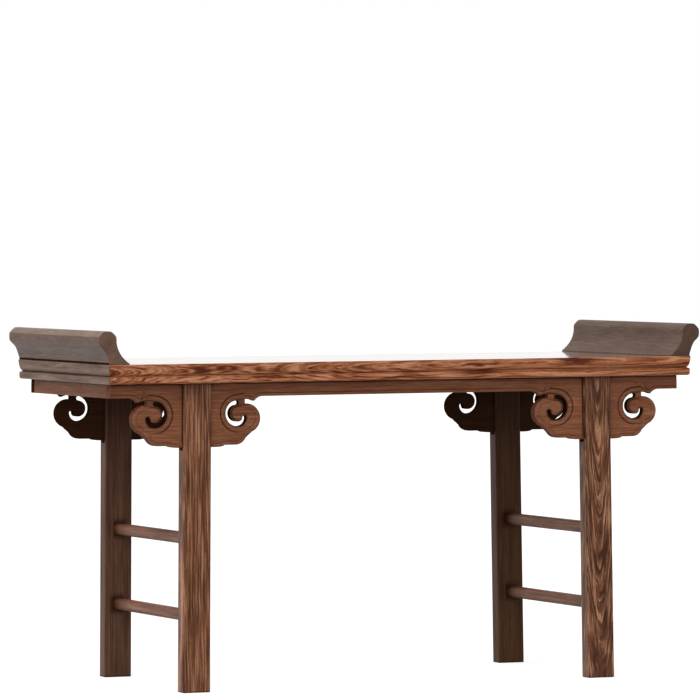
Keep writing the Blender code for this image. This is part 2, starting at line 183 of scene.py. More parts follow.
def sizeScale(along, across):
    return (1 / (along * mm), 1 / (across * mm), 1 / (across * mm))


def logPlace(tree, look):
    # the place in the log: the heart's distance and tilt decide between streaks and flames
    place = addNode(tree, "ShaderNodeTexCoord").outputs["Object"]
    turned = addNode(tree, "ShaderNodeMapping", {
        "Vector": place, "Rotation": [radians(a) for a in grainTurns[look["grain"]]]})
    log = addNode(tree, "ShaderNodeMapping", {
        "Vector": turned.outputs[0],
        "Location": [v * mm for v in look["heart"]],
        "Rotation": [radians(v) for v in look["tilt"]]}).outputs[0]
    # a crooked log: its heart comes nearer to the face and goes deeper along the board
    along = addNode(tree, "ShaderNodeSeparateXYZ", {0: log}).outputs["X"]
    reach = wenge["courseReach"] * mm
    share = addNode(tree, "ShaderNodeMapRange", {
        "Value": along, "From Min": -reach, "From Max": reach}).outputs[0]
    course = addNode(tree, "ShaderNodeFloatCurve", {"Value": share})
    bends = course.mapping.curves[0].points
    while len(bends) < len(look["course"]):
        bends.new(0.5, 0.5)
    for bend, (spot, depth) in zip(bends, look["course"]):
        bend.location = (0.5 + spot / (2 * wenge["courseReach"]), depth / wenge["courseDepth"])
    course.mapping.update()
    deeper = addNode(tree, "ShaderNodeVectorMath", {
        0: (0, wenge["courseDepth"] * mm, 0), "Scale": course.outputs[0]}, operation="SCALE")
    return addNode(tree, "ShaderNodeVectorMath", {0: log, 1: deeper.outputs[0]}).outputs[0], along


def woodFigure(tree, look):
    # the light and dark figure of the wood from 0 to 1, and the mask of its pores
    log, along = logPlace(tree, look)
    sizes = {**wenge, **look}

    def noiseAt(kind):
        scale = sizeScale(sizes[kind + "Long"], sizes[kind + "Across"])
        spread = addNode(tree, "ShaderNodeMapping", {"Vector": log, "Scale": scale})
        return addNode(tree, "ShaderNodeTexNoise", {
            "Vector": spread.outputs[0], "Scale": 1.0, "Detail": sizes[kind + "Detail"],
            "Roughness": wenge["noiseRough"]})

    def swayed(vector, noise, amount):   # noise runs from 0 to 1, so it is centred and doubled
        centred = addNode(tree, "ShaderNodeVectorMath", {
            0: noise.outputs["Color"], 1: (0.5, 0.5, 0.5)}, operation="SUBTRACT")
        sideways = addNode(tree, "ShaderNodeVectorMath", {
            0: centred.outputs[0], 1: (0, 2 * mm, 2 * mm)}, operation="MULTIPLY")
        sway = addNode(tree, "ShaderNodeVectorMath", {
            0: sideways.outputs[0], "Scale": amount}, operation="SCALE")
        return addNode(tree, "ShaderNodeVectorMath", {0: vector, 1: sway.outputs[0]}).outputs[0]

    drift = swayed(log, noiseAt("wander"), look["sway"])
    drift = swayed(drift, noiseAt("ragged"), look["ragged"])
    across = addNode(tree, "ShaderNodeVectorMath", {0: drift, 1: (0, 1, 1)}, operation="MULTIPLY")
    radius = addNode(tree, "ShaderNodeVectorMath", {0: across.outputs[0]}, operation="LENGTH")

    # the streaks may grow longer from one end of a board to the other
    slower = addNode(tree, "ShaderNodeMath", {
        0: along, 1: -look["quicken"] / mm, 2: 1.0}, operation="MULTIPLY_ADD")
    paced = addNode(tree, "ShaderNodeMath", {0: along, 1: slower.outputs[0]}, operation="MULTIPLY")
    apart = addNode(tree, "ShaderNodeSeparateXYZ", {0: log})
    stretched = addNode(tree, "ShaderNodeCombineXYZ", {
        "X": paced.outputs[0], "Y": apart.outputs["Y"], "Z": apart.outputs["Z"]}).outputs[0]

    def bands(width):   # rings of uneven width round the heart, which break off along the grain
        ring = addNode(tree, "ShaderNodeMath", {
            0: radius.outputs["Value"], 1: 1 / (width * mm)}, operation="MULTIPLY")
        spread = addNode(tree, "ShaderNodeMapping", {
            "Vector": stretched, "Scale": sizeScale(look["breakLong"], wenge["breakAcross"])})
        return addNode(tree, "ShaderNodeTexNoise", {
            "Vector": spread.outputs[0], "W": ring.outputs[0], "Scale": 1.0,
            "Detail": wenge["bandDetail"], "Roughness": wenge["noiseRough"]},
            noise_dimensions="4D").outputs["Fac"]

    both = addNode(tree, "ShaderNodeMix", {
        "Factor": look["fineShare"], "A": bands(look["band"]),
        "B": bands(look["band"] * wenge["fineBand"])})
    withPatch = addNode(tree, "ShaderNodeMix", {
        "Factor": look["patchShare"], "A": both.outputs[0], "B": noiseAt("patch").outputs["Fac"]})
    figure = addNode(tree, "ShaderNodeMix", {
        "Factor": look["fibreShare"], "A": withPatch.outputs[0], "B": noiseAt("fibre").outputs["Fac"]})
    pores = addNode(tree, "ShaderNodeMapRange", {
        "Value": noiseAt("pore").outputs["Fac"], "From Min": wenge["poreFrom"],
        "From Max": wenge["poreTo"], "To Min": 0.0, "To Max": look["pores"]})
    return figure.outputs[0], pores.outputs[0]


def oiledWenge(name, look):
    material = bpy.data.materials.new(name)
    tree = newTree(material)
    figure, pores = woodFigure(tree, look)
    ramp = addNode(tree, "ShaderNodeValToRGB", {"Fac": figure})
    stops = ramp.color_ramp.elements
    middle = 0.5 + look["bias"]
    stops[0].position, stops[0].color = middle - look["spread"], toLinear(look["dark"])
    stops[1].position, stops[1].color = middle + look["spread"], toLinear(look["light"])
    stops.new(middle).color = toLinear(look["mid"])
    # pores are dark; the hollow attribute paints shade into cuts, seams, joints, feet and the quirk, so
    # each reads as a dark line
    hollow = addNode(tree, "ShaderNodeAttribute", attribute_name="hollow").outputs["Fac"]
    colour = ramp.outputs[0]
    for share, shade in ((pores, look["dark"]), (hollow, wenge["paintedShadeColour"])):
        colour = addNode(tree, "ShaderNodeMix", {
            "Factor": share, "A": colour, "B": toLinear(shade)}, data_type="RGBA").outputs["Result"]
    # light bands polish a little brighter than dark ones, and faces that look up are rubbed to a gloss
    rough = addNode(tree, "ShaderNodeMapRange", {
        "Value": figure, "From Min": wenge["figureLow"], "From Max": wenge["figureHigh"],
        "To Min": look["rough"] + wenge["darkRougher"],
        "To Max": look["rough"] - wenge["lightSmoother"]}).outputs[0]
    normal = addNode(tree, "ShaderNodeNewGeometry").outputs["Normal"]
    upward = addNode(tree, "ShaderNodeSeparateXYZ", {0: normal}).outputs["Z"]
    rubbed = addNode(tree, "ShaderNodeMapRange", {
        "Value": upward, "From Min": wenge["rubbedFrom"], "From Max": wenge["rubbedTo"],
        "To Min": 0.0, "To Max": look["topPolish"]}).outputs[0]
    rough = addNode(tree, "ShaderNodeMix", {
        "Factor": rubbed, "A": rough, "B": wenge["rubbedRough"]}).outputs[0]
    coat = addNode(tree, "ShaderNodeMath", {0: rubbed, 1: wenge["waxCoat"]}, operation="MULTIPLY")
    height = addNode(tree, "ShaderNodeMath", {0: figure, 1: pores}, operation="SUBTRACT")
    relief = addNode(tree, "ShaderNodeMapRange", {
        "Value": rubbed, "From Min": 0.0, "From Max": 1.0, "To Min": wenge["relief"], "To Max": 0.0})
    bump = addNode(tree, "ShaderNodeBump", {
        "Height": height.outputs[0], "Strength": relief.outputs[0],
        "Distance": wenge["reliefDepth"] * mm})
    shader = addNode(tree, "ShaderNodeBsdfPrincipled", {
        "Base Color": colour, "Roughness": rough, "Normal": bump.outputs[0],
        "IOR": wenge["ior"], "Specular IOR Level": look["gloss"], "Metallic": 0.0,
        "Coat Weight": coat.outputs[0], "Coat Roughness": wenge["waxRough"], "Coat IOR": wenge["waxIor"]})
    addNode(tree, "ShaderNodeOutputMaterial", {"Surface": shader.outputs[0]})
    return material


def tones(dark, mid, light):
    return {"dark": dark, "mid": mid, "light": light}


# looks of the boards: heart is the shift of the log's centre in the grain's own frame (along, across,
# up), the course is that centre's depth at places along the board, shares run from 0 to 1
plain = {"grain": "x", "heart": (0, 0, 160), "tilt": (0, 0, 0), "course": ((-300, 0), (300, 0)),
         "sway": 1.2, "wanderLong": 90, "wanderAcross": 14, "ragged": 0.5, "breakLong": 60, "quicken": 0.0,
         "band": 1.6, "fineShare": 0.3, "patchShare": 0.25, "fibreShare": 0.22, "bias": 0.0, "spread": 0.12,
         "pores": 0.5, "rough": 0.45, "gloss": 0.22, "topPolish": 0.0,
         **tones("3A1E12", "5E3623", "86543A")}
slab = {**plain, "sway": 2.4, "wanderLong": 48, "wanderAcross": 12, "ragged": 1.5, "band": 1.3,
        "fibreShare": 0.12, "patchShare": 0.15, "spread": 0.10, "topPolish": 1.0,
        **tones("562509", "945532", "BE7E58")}
flangeBoard = {**plain, "grain": "y", "heart": (0, -290.6, -321.8), "fibreShare": 0.5, "patchShare": 0.35,
               "spread": 0.2}
flangeEnd = {**flangeBoard, "fibreShare": 0.35, "patchShare": 0.5}
sawn = {**plain, "heart": (15, 60, -120)}
apronBoard = {**sawn, "fibreShare": 0.4, "spread": 0.18}
upright = {**plain, "grain": "z"}
rearLeg = {**upright, "spread": 0.16, "gloss": 0.1}
crossBar = {**plain, "grain": "y", "heart": (0, 90, 60)}

looks = {
    "frontStile": {**slab, "heart": (0, 125, -293), "tilt": (0, 0.7, 0), "sway": 0.8, "breakLong": 22,
                   "quicken": 0.0015, "band": 0.52, "fineShare": 0.15, "ragged": 0.6, "spread": 0.105,
                   "course": ((-300, 3), (-165, 15), (-20, 10), (300, 12)),
                   **tones("4E1C05", "9A5B39", "BE8664")},
    "rearStile": {**slab, "heart": (40, -137, -293), "tilt": (0, 0, -1.0)},
    "rail": {**plain, "grain": "y", "heart": (0, 60, -240), "topPolish": 1.0,
             **tones("3E2B1E", "634937", "7F624E")},
    "panel": {**slab, "heart": (30, 10, -262), "tilt": (0, 1.2, 0.8), "sway": 3.0, "wanderLong": 90,
              "wanderAcross": 24, "band": 1.4, "breakLong": 110, "spread": 0.13,
              **tones("502914", "7C4A2E", "A06C4B")},
    "leftFlange": {**flangeBoard, **tones("38251D", "523B2D", "664D3C")},
    "rightFlange": {**flangeBoard, **tones("35231A", "4E3729", "614836")},
    "paintedHighlightCrown": {**flangeBoard, **tones("503B2F", "705948", "8A6F5C")},
    "leftFlangeEnd": {**flangeEnd, **tones("3E2C22", "644C3F", "7E5C4C")},
    "rightFlangeEnd": {**flangeEnd, **tones("32241B", "4C392E", "5E463A")},
    "frontApron": {**apronBoard, **tones("522A16", "7A4A30", "98664C")},
    # painted shade: the rear board's tones are darkened as if in shade under the top
    "rearApron": {**apronBoard, "gloss": 0.06, **tones("22120A", "341D0E", "482A16")},
    "endApron": {**apronBoard, "grain": "y", "gloss": 0.08, **tones("46230E", "663A20", "7C4D2F")},
    "sawnEdge": {**sawn, "rough": 0.7, "gloss": 0.1, **tones("542C20", "6E402F", "82503F")},
    # painted shade: walls of the slots, the flange's quirk and the rear apron's edges are dark as if in
    # shade
    "sawnWallPaintedShade": {**sawn, "rough": 0.8, "gloss": 0.0, **tones("20100A", "301A10", "402616")},
    "frontLeftLeg": {**upright, "heart": (0, 60, 140), "band": 1.1, "fineShare": 0.4, "breakLong": 45,
                     "patchShare": 0.2, "spread": 0.095, **tones("361808", "6A4028", "A67658")},
    "frontRightLeg": {**upright, "heart": (0, 93, 202.3), "tilt": (0, 0.63, 3.44), "sway": 0.6,
                      "ragged": 0.6, "breakLong": 26, "band": 0.6, "fineShare": 0.2, "patchShare": 0.12,
                      "fibreShare": 0.16, "bias": 0.02, "spread": 0.10,
                      **tones("361A0A", "68412B", "A8795B")},
    # painted shade: the rear legs' tones are darker as if in shade under the top
    "rearLeftLeg": {**rearLeg, "heart": (0, -60, -150), **tones("3C261A", "54382A", "6A4C3B")},
    "rearRightLeg": {**rearLeg, "heart": (0, -60, 150), **tones("321E11", "462D1C", "583A28")},
    "stretcher": {**crossBar, **tones("502C1A", "6E432C", "86583F")},
    "batten": {**crossBar, "rough": 0.62, "gloss": 0.15},
}
finishes = {key: oiledWenge("oiled_planed_wenge_" + key, look) for key, look in looks.items()}
print("materials made:", len(finishes))


# frame of the top: mitred members with a rounded face, a quirk and a lip; painted shade darkens the quirk
frameSizes = {"width": 44, "faceHeight": 10.4, "faceQuirk": 3.2, "lipInset": 0.6, "lipSlope": 1.4,
              "lipChamfer": 1.2, "mitreGap": 0.2, "panelGap": 0.3, "jointEdge": 0.35,
              "quirkShade": {"stile": 0.3, "rail": 0.9}}


def frameOutline(thick):
    s = frameSizes
    face = arcPoints((s["faceQuirk"], 0), s["faceQuirk"], 180, 270, s["faceHeight"])
    lip = [(s["lipInset"], -(s["faceHeight"] + s["lipSlope"])), (s["lipInset"], -(thick - s["lipChamfer"])),
           (s["lipInset"] + s["lipChamfer"], -thick)]
    inner = [(s["width"], -thick), (s["width"], 0)]
    return face + lip + inner


def makeFrameMember(node, halfLength, halfSpan, heading, surface):
    thick = (topLevel - underside) / mm
    bm = bmesh.new()
    flat = outlineFace(bm, frameOutline(thick))
    bmesh.ops.translate(bm, verts=bm.verts, vec=(0, 0, -halfLength))
    extrudeFaces(bm, [flat], (0, 0, 2 * halfLength))
    for vert in bm.verts:   # shear the ends to the mitre
        reach = halfLength - vert.co.x - frameSizes["mitreGap"] * mm
        vert.co.z = reach if vert.co.z > 0 else -reach
    bmesh.ops.recalc_face_normals(bm, faces=bm.faces)
    deepest = Vector((frameSizes["faceQuirk"] * mm, -frameSizes["faceHeight"] * mm))
    # painted shade along the quirk's deepest line, stronger on the rails
    shade = frameSizes["quirkShade"][node.split("_")[-1]]
    markPaintedShade(bm, lambda v: shade * ((v.co.xy - deepest).length < touch))
    top = [e for e in sharpEdges(bm, mesh["creaseAngle"]) if all(v.co.y > -touch for v in e.verts)]
    soften(bm, top, frameSizes["jointEdge"] * mm)
    spot = Matrix.Rotation(heading, 4, "Z") @ Matrix.Translation((-halfSpan, 0, topLevel))
    bmesh.ops.transform(bm, matrix=spot @ Matrix.Rotation(pi / 2, 4, "X"), verts=bm.verts)
    addPiece(node + "_moulded", bm, [surface], "frame_wood", node)


def makeTop():
    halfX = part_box("top_front_stile")[1].x
    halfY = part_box("top_rear_stile")[1].y
    makeFrameMember("top_front_stile", halfX, halfY, pi / 2, "frontStile")
    makeFrameMember("top_rear_stile", halfX, halfY, -pi / 2, "rearStile")
    makeFrameMember("top_left_rail", halfY, halfX, 0, "rail")
    makeFrameMember("top_right_rail", halfY, halfX, pi, "rail")
    inset = (frameSizes["width"] + frameSizes["panelGap"]) * mm
    bm = bmesh.new()
    size = Vector((2 * (halfX - inset), 2 * (halfY - inset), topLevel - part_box("top_panel")[0].z))
    addBlock(bm, (0, 0, topLevel - size.z / 2), size)
    top = [e for e in bm.edges if all(v.co.z > topLevel - touch for v in e.verts)]
    soften(bm, top, frameSizes["jointEdge"] * mm)
    addPiece("top_panel_planed", bm, ["panel"], "panel_wood", "top_panel")


makeTop()
print("top framed")


# rolled flanges: the roll is planed in flats; its end has its own look, its quirk a dark look of painted
# shade and its crown a pale look of painted highlight
flange = {"height": 30.4, "overhang": 9.2, "base": 20.5, "feather": 0.8, "rollRadius": 8.6,
          "rollStart": 234, "rollEnd": -8, "rollFacet": 45, "rollFlat": 0.5, "coveSlant": 1.1,
          "coveHeight": 8.6, "coveSteps": 14, "neckRun": 3.6, "neckReach": 0.9, "neckLevel": 6.5,
          "footInset": 0.6, "seat": 0.02, "quirk": 1.9, "quirkRoom": 0.1, "endEdge": 0.5,
          "endFacing": 0.7, "crownOut": 0.1, "crownUp": 0.35}


def flangeOutline():
    f = flange
    roll = (f["rollRadius"] - f["overhang"], f["height"] - f["rollRadius"])
    # flats that are then eased: a blend of a circle and an octagon round it
    rolled = []
    halfFacet = f["rollFacet"] / 2
    for x, y in arcPoints(roll, f["rollRadius"], f["rollStart"], f["rollEnd"]):
        out = Vector((x - roll[0], y - roll[1]))
        offFlat = (degrees(atan2(out.y, out.x)) + halfFacet) % f["rollFacet"] - halfFacet
        eased = out.lerp(out / cos(radians(offFlat)), f["rollFlat"])
        rolled.append((roll[0] + eased.x, roll[1] + eased.y))
    hollow = onCircle(rolled[0], f["neckRun"], f["rollStart"] + 90)
    neck = quadraticPoints(rolled[0], hollow, (-f["neckReach"], f["neckLevel"]), f["coveSteps"])
    bend = (rolled[-1][0] + f["coveSlant"], f["coveHeight"])
    cove = quadraticPoints(rolled[-1], bend, (f["base"], f["feather"]), f["coveSteps"])
    foot = [(f["footInset"], level) for level in (f["seat"], f["quirk"])]
    return foot + neck[::-1] + rolled + cove + [(f["base"], f["seat"])]


def makeFlanges():
    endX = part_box("top_front_stile")[1].x
    quirkTop = topLevel + (flange["quirk"] + flange["quirkRoom"]) * mm
    outerX = endX - flange["base"] / 2 * mm
    for side, sx in sides.items():
        low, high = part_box(side + "_flange")
        bm = bmesh.new()
        flat = outlineFace(bm, flangeOutline())
        extrudeFaces(bm, [flat], (0, 0, high.y - low.y))
        bmesh.ops.recalc_face_normals(bm, faces=bm.faces)
        corners = sharpEdges(bm, mesh["cornerAngle"])
        ends = [e for e in corners if abs(e.verts[0].co.z - e.verts[1].co.z) < mm]
        soften(bm, ends, flange["endEdge"] * mm)
        bmesh.ops.translate(bm, verts=bm.verts, vec=(0, 0, -(high.y - low.y) / 2))
        spot = Matrix.Translation((sx * endX, 0, topLevel)) @ Matrix.Rotation(0 if sx < 0 else pi, 4, "Z")
        bmesh.ops.transform(bm, matrix=spot @ Matrix.Rotation(pi / 2, 4, "X"), verts=bm.verts)
        bmesh.ops.recalc_face_normals(bm, faces=bm.faces)
        # the indices count along the surfaces below
        for face in bm.faces:
            if abs(face.normal.y) > flange["endFacing"]:
                face.material_index = 2
            elif all(v.co.z < quirkTop and sx * v.co.x > outerX for v in face.verts):
                face.material_index = 1
            elif sx * face.normal.x > flange["crownOut"] and face.normal.z > flange["crownUp"]:
                face.material_index = 3   # painted highlight: the roll's crown is made pale as if lit from above
        surfaces = [side + "Flange", "sawnWallPaintedShade", side + "FlangeEnd", "paintedHighlightCrown"]
        addPiece(side + "_flange_rolled", bm, surfaces, "flange_wood", side + "_flange")


makeFlanges()
print("flanges rolled")


# long aprons: one board each, with four scroll spandrels and carved beads
scroll = {"apronHeight": 12.7, "drop": 58.5, "reach": 62.5, "lobe": 13.5, "lobeEnd": -68, "mouth": 4,
          "hookLip": 2.5, "hook": 10.2, "hookAngle": 26, "bridge": 5.8, "bridgeShift": 1.3, "belly": 11,
          "bellyStart": -28, "stepDrop": 1.8, "stepReach": 27, "stepLength": 8.5, "slotWidth": 4.2,
          "slot": 9.7, "slotInset": 8.5, "slotRise": 4.6, "slotTurn": 285, "eye": 5.5, "eyeEnd": 360}
# a bead rounds over to its edge and drops into a groove on the field's side: widths, spacings, crowd and
# the bridge's fall in millimetres, crest, shoulder and other falls in shares of a width. The groove round
# a slot runs out between two angles about the slot's centre. Seams lie beside the legs and under the top
bead = {"edge": 3.0, "lobe": 4.6, "slot": 5.4, "core": 5.0, "crest": 0.6, "shoulder": 0.22,
        "edgeFall": 0.38, "bridgeFall": 1.9, "bridgeShade": 0.15, "fadeFrom": 235, "fadeTo": 300,
        "steps": 5, "spacing": 6, "fan": 15, "crowd": 0.05, "seam": 1.6, "seamFall": 0.8,
        "seamSpacing": 3, "seamSpots": (-1, -0.5, 0, 0.5, 1), "topSpots": (0.15, 0.5, 1)}
grooveFall = {"edge": 0.26, "lobe": 0.14, "slot": 0.26, "core": 0.0}
# painted shade for each millimetre cut, so grooves and seams read dark
paintedShadeShare = {"edge": 0.35, "lobe": 0.3, "slot": 0.7, "core": 0.3, "seam": 1.0}
# how far from a line a side still counts as lying on it
closeTo = {"slot": 0.15, "bridge": 0.05, "boardEnd": 0.1, "lobe": 0.1, "tie": 0.01}
cdtWeld = 1e-6
distanceBatch = 1000


def lobeCentre():
    s = scroll
    return (s["reach"] - s["lobe"], -(s["apronHeight"] + s["hookLip"] + s["mouth"] + s["lobe"]))


def slotCentre():
    lobe = lobeCentre()
    return (lobe[0] - scroll["slotInset"], lobe[1] + scroll["slotRise"])


def spandrelEdge():
    s, lobe = scroll, lobeCentre()
    mouth = s["lobe"] + s["mouth"]
    tip = onCircle(lobe, mouth, 90 - s["hookAngle"])
    fall = degrees(acos(1 - (-s["apronHeight"] - tip[1]) / s["hook"]))
    hookCentre = (tip[0] + s["hook"] * sin(radians(fall)), -s["apronHeight"] - s["hook"])
    hook = arcPoints(hookCentre, s["hook"], 90, 90 + fall)
    mouthEnd, lobeStart = (90 + degrees(asin(s["bridgeShift"] / radius)) for radius in (mouth, s["lobe"]))
    mouthEdge = arcPoints(lobe, mouth, 90 - s["hookAngle"], mouthEnd)[1:]
    lobeEdge = arcPoints(lobe, s["lobe"], lobeStart, s["lobeEnd"])
    level = s["stepDrop"] - s["drop"]
    belly = arcPoints((lobe[0] - s["belly"], level + s["belly"]), s["belly"], s["bellyStart"], -90)
    step = arcPoints((s["stepReach"] - s["stepLength"], level), s["stepLength"], 0, -90, s["stepDrop"])
    return hook + mouthEdge + lobeEdge + belly + step


def slotStart():
    bridgeSide = lobeCentre()[0] - scroll["bridgeShift"] - scroll["bridge"]
    return 90 + degrees(asin((slotCentre()[0] - bridgeSide + scroll["slotWidth"] / 2) / scroll["slot"]))


def bridgeCorners():
    # the tie across the channel: the slot's outer start, the mouth's two ends, the slot's inner start
    s, lobe = scroll, lobeCentre()
    half = s["slotWidth"] / 2
    mouth = [(lobe[0] - s["bridgeShift"], lobe[1] + sqrt(radius ** 2 - s["bridgeShift"] ** 2))
             for radius in (s["lobe"] + s["mouth"], s["lobe"])]
    outer, inner = (onCircle(slotCentre(), s["slot"] + way * half, slotStart()) for way in (1, -1))
    return [outer] + mouth + [inner]


def spandrelSlot():
    s, centre, start = scroll, slotCentre(), slotStart()
    half = s["slotWidth"] / 2
    eye = onCircle(centre, s["slot"] - s["eye"], s["slotTurn"])
    outer = arcPoints(centre, s["slot"] + half, start, s["slotTurn"])
    outer += arcPoints(eye, s["eye"] + half, s["slotTurn"], s["eyeEnd"])[1:]
    inner = arcPoints(eye, s["eye"] - half, s["eyeEnd"], s["slotTurn"])
    inner += arcPoints(centre, s["slot"] - half, s["slotTurn"], start)[1:]
    eyeCap = arcPoints(onCircle(eye, s["eye"], s["eyeEnd"]), half, s["eyeEnd"], s["eyeEnd"] + 180)[1:-1]
    mouthCap = arcPoints(onCircle(centre, s["slot"], start), half, start - 180, start)[1:-1]
    return outer + eyeCap + inner + mouthCap


def beadSteps():
    # where the rings of points lie across a bead and its groove, in bead widths from the edge
    b = bead
    swing = [1 - cos(pi / 2 * i / b["steps"]) for i in range(1, b["steps"] + 1)]
    outer = [b["crest"] * s for s in swing]
    inner = [1 - (1 - b["crest"]) * s for s in reversed(swing[:-1])]
    return outer + inner + [1, 1 + b["shoulder"] / 2, 1 + b["shoulder"]]


def beadHeight(t, width, groove):
    b = bead
    if t < b["crest"]:
        return -b["edgeFall"] * width * (1 - sqrt(1 - (1 - t / b["crest"]) ** 2))
    if t < 1:
        return -groove * width * (1 - sqrt(1 - ((t - b["crest"]) / (1 - b["crest"])) ** 2))
    climb = min(1, (t - 1) / b["shoulder"])
    return -groove * width * (1 - climb) ** 2


def seamHeight(t, width):
    return -bead["seamFall"] * width * max(0, 1 - t) ** 2


def apronOutline(halfEnd, legX):
    edge = spandrelEdge()
    foot = -scroll["apronHeight"]
    # points up the board's end let the bead run out through it
    end = [(halfEnd, foot + bead["edge"] * t) for t in reversed(beadSteps())]
    rightHalf = [(halfEnd, 0)] + end + [(halfEnd, foot)]
    rightHalf += [(legX + x, y) for x, y in edge] + [(legX - x, y) for x, y in reversed(edge)]
    return rightHalf + [(-x, y) for x, y in reversed(rightHalf)]


def legSeams():
    # the lines where the board meets the legs' sides
    half = leg["width"] / 2
    lean = leg["splay"] * scroll["drop"]
    top = legTopCentre() / mm
    return [((sx * (top + way * half), 0), (sx * (top + lean + way * half), -scroll["drop"]))
            for sx in sides.values() for way in (-1, 1)]


def loopSides(loop):
    return list(zip(loop, loop[1:] + loop[:1]))


def anticlockwise(loop):
    area = sum(a[0] * b[1] - b[0] * a[1] for a, b in loopSides(loop))
    return loop if area > 0 else loop[::-1]


def edgeSpots(loop, way):
    # places along a loop with the ways into the wood: a fan at a corner, a row along a straight
    normals = [way * Vector((a[1] - b[1], b[0] - a[0])).normalized() for a, b in loopSides(loop)]
    for i, (a, b) in enumerate(loopSides(loop)):
        spread = ceil(degrees(normals[i - 1].angle(normals[i])) / bead["fan"]) + 1
        for k in range(1, spread):
            yield Vector(a), normals[i - 1].lerp(normals[i], k / spread).normalized()
        count = ceil((Vector(b) - Vector(a)).length / bead["spacing"])
        for k in range(count - 1):
            yield Vector(a).lerp(b, (k + 1) / count), normals[i]


def distances(points, edges):
    # distance of each point from the nearest of the edges
    starts, ends = (np.array(corner) for corner in zip(*edges))
    run = ends - starts
    nearest = []
    for batch in np.array_split(points, len(points) // distanceBatch + 1):
        offset = batch[:, None] - starts
        along = np.clip((offset * run).sum(2) / (run * run).sum(1), 0, 1)
        nearest.append(np.linalg.norm(offset - along[..., None] * run, axis=2).min(1))
    return np.concatenate(nearest)


def toSpandrel(point, turn):   # a spandrel's own frame has the leg's middle at x = 0
    return Vector(((point[0] - turn[0]) * turn[1], point[1]))


def fromSpandrel(point, turn):
    return (turn[0] + turn[1] * point[0], point[1])


def carvedEdges(board, slots, turns):
    # the carved sides by kind: the slots' outer sides, their cores, the lobes' round ends, and the rest of
    # the board's lower edge. The bridges' ends are left out, and lines across them carry the beads over
    halfEnd = max(x for x, y in board)
    kinds = {"edge": [], "lobe": [], "slot": [], "core": []}
    corners = bridgeCorners()
    centre, lobe = Vector(slotCentre()), Vector(lobeCentre())
    outside = scroll["slot"] + scroll["slotWidth"] / 2 - closeTo["slot"]
    for slot, turn in zip(slots, turns):
        for a, b in loopSides(slot):
            out = toSpandrel(Vector(a).lerp(b, 0.5), turn) - centre
            if degrees(atan2(out.y, out.x)) % 360 > slotStart():
                kinds["slot" if out.length > outside else "core"].append((a, b))
        spots = [fromSpandrel(corner, turn) for corner in corners]
        kinds["slot"].append((spots[0], spots[1]))
        kinds["core"].append((spots[3], spots[2]))
    for a, b in loopSides(board):
        pairs = [[toSpandrel(p, turn) for p in (a, b)] for turn in turns]
        atBridge = any(all(abs(p.x - corners[1][0]) < closeTo["bridge"] for p in pair) for pair in pairs)
        atEnd = abs(a[0] + b[0]) >= 2 * halfEnd - closeTo["boardEnd"]
        if a[1] + b[1] < 0 and not atEnd and not atBridge:
            off = min(abs((p - lobe).length - scroll["lobe"]) for pair in pairs for p in pair)
            kinds["lobe" if off < closeTo["lobe"] else "edge"].append((a, b))
    return kinds


def grooveFade(points, turns):
    fade = np.ones(len(points))
    for spot, way in turns:
        out = (points - (spot, 0)) * (way, 1) - slotCentre()
        angle = np.degrees(np.arctan2(out[:, 1], out[:, 0])) % 360
        near = np.hypot(out[:, 0], out[:, 1]) < 2 * scroll["slot"]
        left = np.clip((bead["fadeTo"] - angle) / (bead["fadeTo"] - bead["fadeFrom"]), 0, 1)
        fade = np.where(near, left, fade)
    return fade


def onBridge(points, turns):
    inside = np.zeros(len(points), bool)
    for turn in turns:
        loop = anticlockwise([fromSpandrel(corner, turn) for corner in bridgeCorners()])
        lefts = [(b[0] - a[0]) * (points[:, 1] - a[1]) - (b[1] - a[1]) * (points[:, 0] - a[0])
                 for a, b in loopSides(loop)]
        inside |= np.min(lefts, axis=0) > -closeTo["tie"]
    return inside


def beadRow(place, way, kind):
    # points from an edge into the wood, each with its distance from the edge
    return [(place + way * t * bead[kind], t * bead[kind]) for t in beadSteps()]


def ringSpots(loops, kinds):
    spots = []
    for loop in loops:
        onBoard = loop is loops[0]
        choice = ("edge", "lobe") if onBoard else ("slot", "core")
        for place, normal in edgeSpots(loop, 1 if onBoard else -1):
            kind = min(choice, key=lambda k: distances([place], kinds[k]))
            spots += beadRow(place, normal, kind)
    return spots


def bridgeSpots(turns):
    # rows over each bridge, from its beads to its middle
    spots, steps = [], bead["steps"]
    for turn in turns:
        outer, end, lobe, core = (Vector(fromSpandrel(corner, turn)) for corner in bridgeCorners())
        for i in range(1, steps):
            high, low = outer.lerp(end, i / steps), core.lerp(lobe, i / steps)
            away = (high - low).normalized()
            spots += beadRow(high, away, "slot") + beadRow(low, -away, "core")
            spots += [(low.lerp(high, k / steps), 0) for k in range(steps + 1)]
    return spots


def seamSpots(seams, halfEnd):
    # points beside the legs, then along the line under the table's top
    spots = []
    for a, b in seams:
        count = ceil(scroll["drop"] / bead["seamSpacing"])
        for i in range(1, count):
            middle = Vector(a).lerp(b, i / count)
            spots += [(middle + Vector((bead["seam"] * t, 0)), 0) for t in bead["seamSpots"]]
    count = ceil(2 * halfEnd / bead["spacing"])
    for i in range(1, count):
        x = halfEnd * (2 * i / count - 1)
        spots += [(Vector((x, -bead["seam"] * t)), 0) for t in bead["topSpots"]]
    return spots


